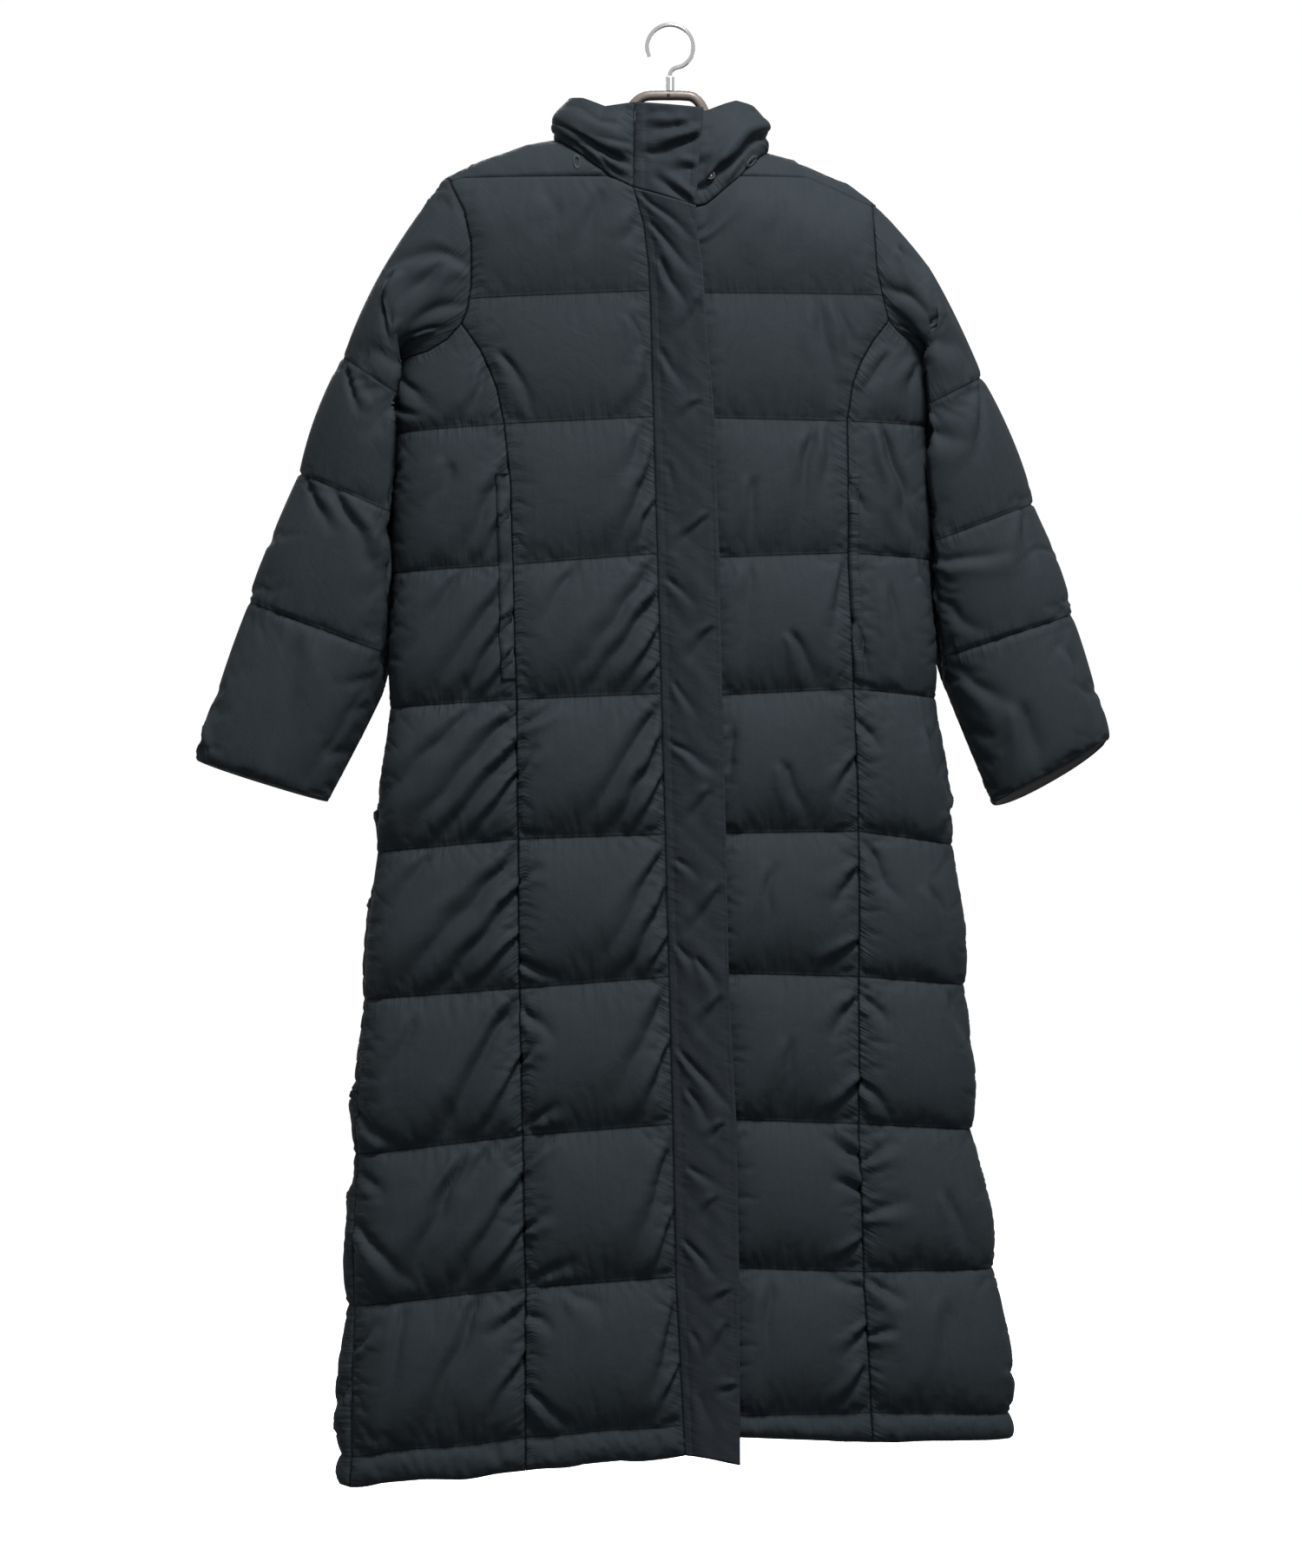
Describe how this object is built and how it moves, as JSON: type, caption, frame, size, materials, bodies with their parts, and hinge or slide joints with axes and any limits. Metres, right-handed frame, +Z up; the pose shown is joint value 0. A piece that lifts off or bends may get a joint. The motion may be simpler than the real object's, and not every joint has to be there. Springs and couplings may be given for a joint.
{
  "type": "long puffer coat on a hanger",
  "caption": "Long quilted puffer coat with a stand collar, wide closed placket, princess seams and long sleeves, hung flat on a plain hanger.",
  "frame": {"origin": "inside of the hanger hook's bend, at the point that bears on a rod", "axes": "+X to the viewer's right (the wearer's left), +Y from the coat's front to its back, +Z up"},
  "size_m": [0.9478, 0.1576, 1.5195],
  "materials": {
    "shell": "matt dark slate woven polyester, padded and quilted",
    "placket": "the same cloth, unpadded, pressed flat with loose creases",
    "cord": "thin dark round cord",
    "snap": "worn metal snap",
    "hanger": "taupe plastic, slightly polished",
    "chrome": "polished hook wire"
  },
  "bodies": {
    "root": {"front_centre_right": "shell", "front_side_right": "shell", "front_centre_left": "shell", "front_side_left": "shell", "back": "shell", "sleeve_right": "shell", "sleeve_left": "shell", "collar": "shell", "collar_flap": "placket", "placket": "placket", "underlap": "placket", "pocket_welt_right": "placket", "pocket_welt_left": "placket", "snap_socket": "snap", "hood_loop_right": "cord", "hood_loop_left": "cord", "hanger_body": "hanger", "hanger_ferrule": "chrome", "hanger_hook": "chrome"}
  },
  "joints": []
}
